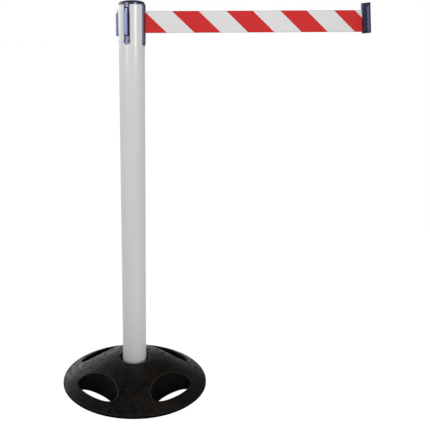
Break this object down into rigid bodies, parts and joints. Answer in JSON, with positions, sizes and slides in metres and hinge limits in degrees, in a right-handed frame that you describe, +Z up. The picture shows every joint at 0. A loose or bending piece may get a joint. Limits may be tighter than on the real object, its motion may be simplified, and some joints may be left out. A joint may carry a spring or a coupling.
{
  "type": "retractable belt stanchion",
  "caption": "Free-standing crowd-control post with a domed rubber base, a spring-wound striped belt that pulls out sideways, and rails that take the clips of other belts.",
  "frame": {"origin": "on the floor, on the axis of the post, in the plane of the base's underside", "axes": "+Z up along the post; +X the way the belt pulls out; +Y away from the viewer of the front"},
  "size_m": [0.7731, 0.39, 1.0017],
  "materials": {
    "base_rubber": "mottled recycled rubber, matt",
    "post_paint": "satin light grey powder coat",
    "head_plastic": "glossy near-black navy moulding",
    "inner_plastic": "matt black moulding",
    "bush_plastic": "natural acetal",
    "belt_weave": "woven polyester, red and white diagonal stripes",
    "zinc_steel": "zinc plated",
    "spring_steel": "blued spring strip"
  },
  "bodies": {
    "post": {"rubber_base": "base_rubber", "base_clamp_plate": "zinc_steel", "base_lock_washer": "zinc_steel", "base_bolt": "zinc_steel", "tube_plug": "inner_plastic", "plug_nut": "zinc_steel", "post_tube": "post_paint", "head_body": "head_plastic", "exit_guide": "head_plastic", "guide_pin_near": "zinc_steel", "guide_pin_far": "zinc_steel", "receiver_front": "head_plastic", "receiver_left": "head_plastic", "receiver_back": "head_plastic", "top_cap": "head_plastic", "cap_screw": "zinc_steel", "spool_shaft": "zinc_steel", "spring_housing": "inner_plastic", "spring_cover": "inner_plastic", "mainspring": "spring_steel", "belt_run": "belt_weave"},
    "spool": {"spool_drum": "inner_plastic", "spool_flange": "inner_plastic", "lower_bush": "bush_plastic", "upper_bush": "bush_plastic", "belt_roll": "belt_weave", "belt_anchor_pin": "zinc_steel", "spring_arbor": "inner_plastic"},
    "belt_end": {"clip_body": "head_plastic", "clip_cover": "head_plastic", "clip_pin": "zinc_steel", "clip_screws": "zinc_steel", "belt_hem": "belt_weave"}
  },
  "joints": [
    {"name": "belt_pull", "type": "slide", "parent": "post", "child": "belt_end", "axis": [1, 0, 0], "range_m": [-0.5165, 1.65], "stiffness_N_per_m": 4, "springref_m": -2, "deforming": ["belt_run"]},
    {"name": "spool_spin", "type": "hinge", "parent": "post", "child": "spool", "pos_m": [0, 0, 0.95], "axis": [0, 0, 1], "range_deg": [-1720, 5460], "deforming": ["mainspring"]}
  ],
  "couplings": [
    {"joint": "spool_spin", "follows": "belt_pull", "rad_per_m": 57.5}
  ]
}
